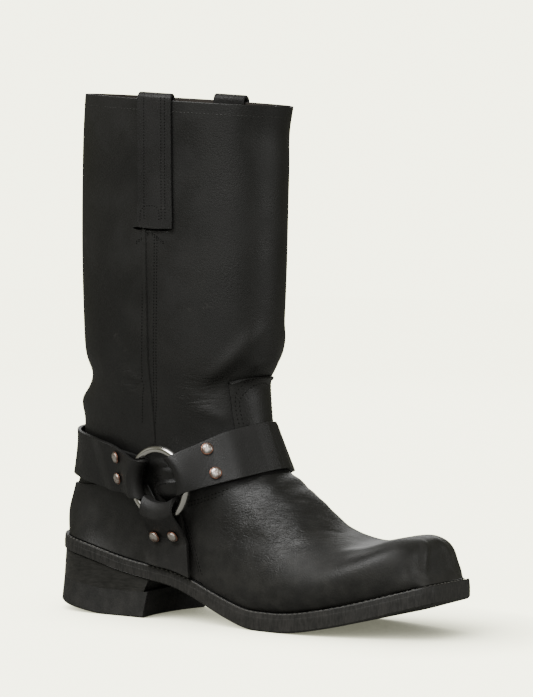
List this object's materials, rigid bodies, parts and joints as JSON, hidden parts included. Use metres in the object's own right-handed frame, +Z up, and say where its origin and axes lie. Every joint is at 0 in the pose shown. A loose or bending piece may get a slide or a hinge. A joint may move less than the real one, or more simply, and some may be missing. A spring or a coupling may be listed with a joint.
{
  "type": "harness boot",
  "caption": "Tall pull-on harness boot with a blunt square toe, a stacked heel and leather straps joined by a metal ring on each side.",
  "frame": {"origin": "on the floor, in the flat spot of the heel, in the middle of the boot's width", "axes": "+X to the toe, +Y to the inner side of the foot, +Z up"},
  "size_m": [0.3018, 0.1101, 0.3457],
  "materials": {
    "upper_leather": "matte oiled black",
    "strap_leather": "smooth black, cut edges",
    "insole_leather": "plain tan",
    "heel_leather": "black stained, burnished edge",
    "sole_rubber": "matte black",
    "lift_rubber": "matte black",
    "nickel": "polished nickel"
  },
  "bodies": {
    "root": {"outsole": "sole_rubber", "heel_top_lift": "lift_rubber", "welt": "heel_leather", "heel_stack": "heel_leather", "insole": "insole_leather", "upper": "upper_leather", "vamp": "upper_leather", "counter": "upper_leather", "side_seam_outer": "upper_leather", "side_seam_inner": "upper_leather", "pull_strap_outer": "upper_leather", "pull_strap_inner": "upper_leather", "strap_front": "strap_leather", "strap_rear": "strap_leather", "strap_lower_outer": "strap_leather", "strap_lower_inner": "strap_leather", "ring_outer": "nickel", "ring_inner": "nickel", "rivet_front_outer_1": "nickel", "rivet_front_outer_2": "nickel", "rivet_front_inner_1": "nickel", "rivet_front_inner_2": "nickel", "rivet_rear_outer_1": "nickel", "rivet_rear_outer_2": "nickel", "rivet_rear_inner_1": "nickel", "rivet_rear_inner_2": "nickel", "rivet_lower_outer_1": "nickel", "rivet_lower_outer_2": "nickel", "rivet_lower_inner_1": "nickel", "rivet_lower_inner_2": "nickel"}
  },
  "joints": []
}
